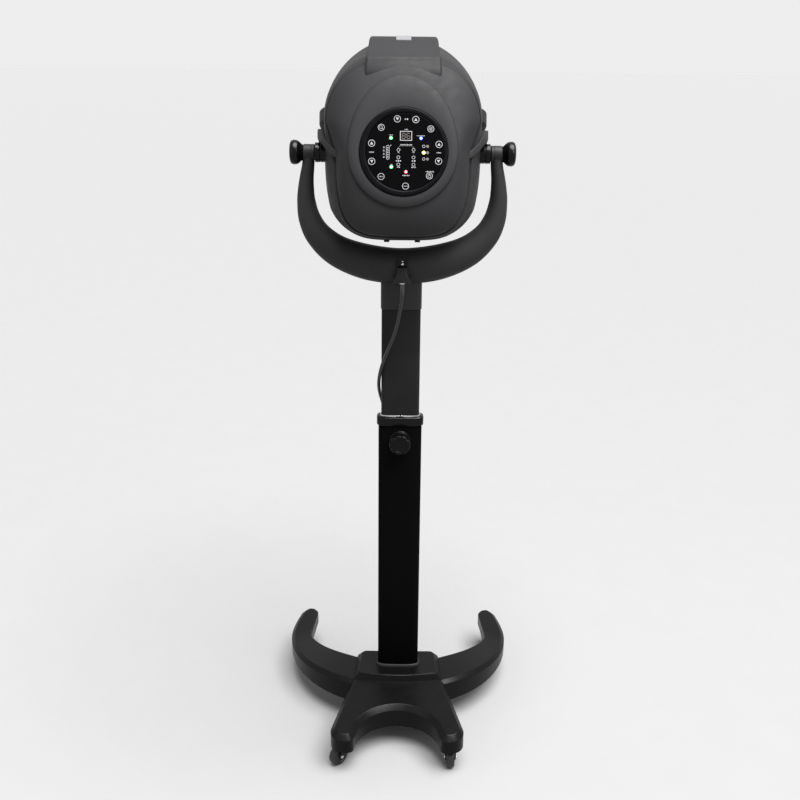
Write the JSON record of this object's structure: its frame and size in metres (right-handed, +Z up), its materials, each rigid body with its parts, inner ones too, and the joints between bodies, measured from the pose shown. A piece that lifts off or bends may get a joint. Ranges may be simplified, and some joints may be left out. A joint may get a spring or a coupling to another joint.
{
  "type": "hood hair dryer",
  "caption": "Salon hood hair dryer: tilting hood with a round touch panel in a U-shaped yoke, on a telescopic column over a wheeled base.",
  "frame": {"origin": "on the floor, under the middle of the bounding box", "axes": "+Z up, -Y towards the control panel's side, +X to the right of someone who faces the panel"},
  "size_m": [0.593, 0.583, 1.6715],
  "materials": {
    "shell_plastic": "satin moulded",
    "yoke_plastic": "fine textured",
    "gloss_plastic": "polished",
    "tube_paint": "satin powder coat",
    "cover_plastic": "satin gloss",
    "panel_glass": "polished, dark",
    "bezel_plastic": "satin gloss",
    "circuit_board": "solder mask",
    "liner_plastic": "satin",
    "soft_rubber": "matt",
    "bright_steel": "bright",
    "cast_iron": "rough",
    "heater_wire": "oxidised",
    "cord_sheath": "satin",
    "grille_plastic": "satin"
  },
  "bodies": {
    "base": {"base_cover": "cover_plastic", "base_arm_left": "cover_plastic", "base_arm_right": "cover_plastic", "base_frame": "tube_paint", "ballast_plate": "cast_iron", "base_bolt_left": "bright_steel", "base_bolt_right": "bright_steel", "outer_column": "tube_paint", "column_trim": "soft_rubber", "column_collar": "gloss_plastic", "guide_bush": "bright_steel", "lock_boss": "gloss_plastic", "power_cord": "cord_sheath", "plug_lead": "cord_sheath", "cord_coil": "cord_sheath", "coil_tie": "soft_rubber", "mains_plug": "soft_rubber"},
    "mast": {"inner_tube": "tube_paint", "tube_glide": "grille_plastic", "yoke_socket": "tube_paint", "yoke_front_half": "yoke_plastic", "yoke_rear_half": "yoke_plastic", "yoke_core": "bright_steel", "pivot_hub_left": "yoke_plastic", "pivot_hub_right": "yoke_plastic", "cable_plate": "gloss_plastic", "plate_screw_upper": "bright_steel", "plate_screw_lower": "bright_steel", "cable_guard": "yoke_plastic", "cord_gland": "bright_steel"},
    "hood": {"hood_back_shell": "shell_plastic", "hood_front_shell": "shell_plastic", "hood_liner": "liner_plastic", "hood_rim": "gloss_plastic", "intake_scoop": "shell_plastic", "panel_bezel": "bezel_plastic", "panel_glass": "panel_glass", "control_board": "circuit_board", "blower_motor": "cast_iron", "heater_coil": "heater_wire", "pivot_collar_left": "gloss_plastic", "pivot_collar_right": "gloss_plastic", "side_fairing_left": "shell_plastic", "side_fairing_right": "shell_plastic"},
    "blower": {"blower_impeller": "grille_plastic"},
    "lock_knob": {"lock_knob": "gloss_plastic"},
    "pivot_knob_left": {"pivot_knob_left": "gloss_plastic"},
    "pivot_knob_right": {"pivot_knob_right": "gloss_plastic"},
    "caster_front_left": {"caster_fork_front_left": "gloss_plastic", "caster_axle_front_left": "bright_steel"},
    "wheel_front_left": {"caster_wheel_front_left": "soft_rubber"},
    "caster_front_right": {"caster_fork_front_right": "gloss_plastic", "caster_axle_front_right": "bright_steel"},
    "wheel_front_right": {"caster_wheel_front_right": "soft_rubber"},
    "caster_rear_left": {"caster_fork_rear_left": "gloss_plastic", "caster_axle_rear_left": "bright_steel"},
    "wheel_rear_left": {"caster_wheel_rear_left": "soft_rubber"},
    "caster_rear_right": {"caster_fork_rear_right": "gloss_plastic", "caster_axle_rear_right": "bright_steel"},
    "wheel_rear_right": {"caster_wheel_rear_right": "soft_rubber"}
  },
  "joints": [
    {"name": "height", "type": "slide", "parent": "base", "child": "mast", "axis": [0, 0, 1], "range_m": [-0.2, 0.12], "deforming": ["power_cord"]},
    {"name": "hood_tilt", "type": "hinge", "parent": "mast", "child": "hood", "pos_m": [0, -0.0355, 1.4344], "axis": [1, 0, 0], "range_deg": [-45, 25]},
    {"name": "blower_spin", "type": "hinge", "parent": "hood", "child": "blower", "pos_m": [0, -0.02866, 1.45319], "axis": [0, 0.9397, -0.342], "continuous": true},
    {"name": "lock_knob_turn", "type": "hinge", "parent": "base", "child": "lock_knob", "pos_m": [0, -0.055, 0.7715], "axis": [0, -1, 0], "range_deg": [0, 360]},
    {"name": "pivot_knob_left_turn", "type": "hinge", "parent": "mast", "child": "pivot_knob_left", "pos_m": [-0.235, -0.0355, 1.4344], "axis": [-1, 0, 0], "range_deg": [0, 360]},
    {"name": "pivot_knob_right_turn", "type": "hinge", "parent": "mast", "child": "pivot_knob_right", "pos_m": [0.235, -0.0355, 1.4344], "axis": [1, 0, 0], "range_deg": [0, 360]},
    {"name": "caster_front_left_swivel", "type": "hinge", "parent": "base", "child": "caster_front_left", "pos_m": [-0.13, -0.2415, 0.05], "axis": [0, 0, 1], "continuous": true},
    {"name": "wheel_front_left_roll", "type": "hinge", "parent": "caster_front_left", "child": "wheel_front_left", "pos_m": [-0.14202, -0.25352, 0.025], "axis": [0.7071, -0.7071, 0], "continuous": true},
    {"name": "caster_front_right_swivel", "type": "hinge", "parent": "base", "child": "caster_front_right", "pos_m": [0.13, -0.2415, 0.05], "axis": [0, 0, 1], "continuous": true},
    {"name": "wheel_front_right_roll", "type": "hinge", "parent": "caster_front_right", "child": "wheel_front_right", "pos_m": [0.13, -0.2585, 0.025], "axis": [1, 0, 0], "continuous": true},
    {"name": "caster_rear_left_swivel", "type": "hinge", "parent": "base", "child": "caster_rear_left", "pos_m": [-0.2612, 0.2475, 0.05], "axis": [0, 0, 1], "continuous": true},
    {"name": "wheel_rear_left_roll", "type": "hinge", "parent": "caster_rear_left", "child": "wheel_rear_left", "pos_m": [-0.25825, 0.26424, 0.025], "axis": [-0.9848, 0.1736, 0], "continuous": true},
    {"name": "caster_rear_right_swivel", "type": "hinge", "parent": "base", "child": "caster_rear_right", "pos_m": [0.2612, 0.2475, 0.05], "axis": [0, 0, 1], "continuous": true},
    {"name": "wheel_rear_right_roll", "type": "hinge", "parent": "caster_rear_right", "child": "wheel_rear_right", "pos_m": [0.2568, 0.26392, 0.025], "axis": [-0.9659, -0.2588, 0], "continuous": true}
  ]
}
